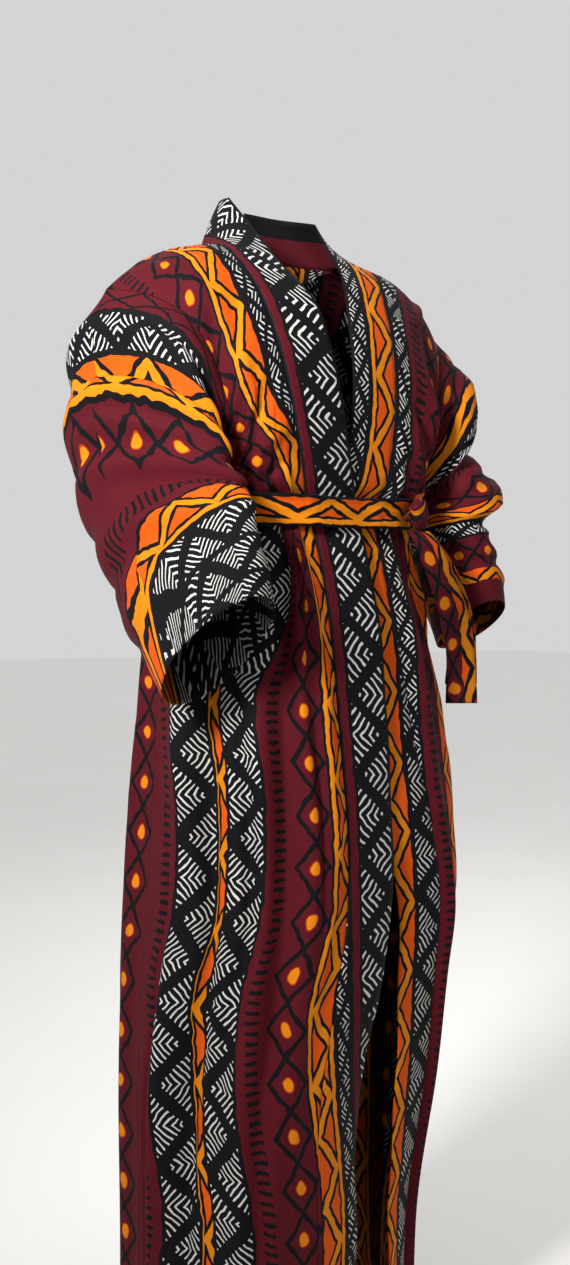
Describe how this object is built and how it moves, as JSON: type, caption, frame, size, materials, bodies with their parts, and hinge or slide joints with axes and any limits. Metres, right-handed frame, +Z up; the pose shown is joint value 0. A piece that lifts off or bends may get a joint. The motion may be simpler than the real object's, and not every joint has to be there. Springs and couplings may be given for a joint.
{
  "type": "kimono robe",
  "caption": "Floor-length open-front kimono robe in printed cotton, with wide drop-shoulder sleeves, a flat neckband and a narrow knotted sash, holding its worn shape.",
  "frame": {"origin": "middle of the shoulder line, level with the base of the back neck, where the wearer's shoulders carry the robe", "axes": "+Z up from hem to collar, -Y is the front, -X is the wearer's right"},
  "size_m": [0.5992, 0.3973, 1.52],
  "materials": {
    "printed_cotton": "maroon, black, orange and white wax-printed plain-weave cotton",
    "band_cotton": "the same cotton, cut where it is black with white arrow marks",
    "sash_cotton": "the same cotton, cut where it is orange zigzag on black"
  },
  "bodies": {
    "root": {"front_right": "printed_cotton", "front_left": "printed_cotton", "back": "printed_cotton", "sleeve_right": "printed_cotton", "sleeve_left": "printed_cotton", "neckband_right": "band_cotton", "neckband_left": "band_cotton", "belt": "sash_cotton", "belt_tail_front": "sash_cotton", "belt_tail_back": "sash_cotton", "belt_knot": "sash_cotton"}
  },
  "joints": []
}
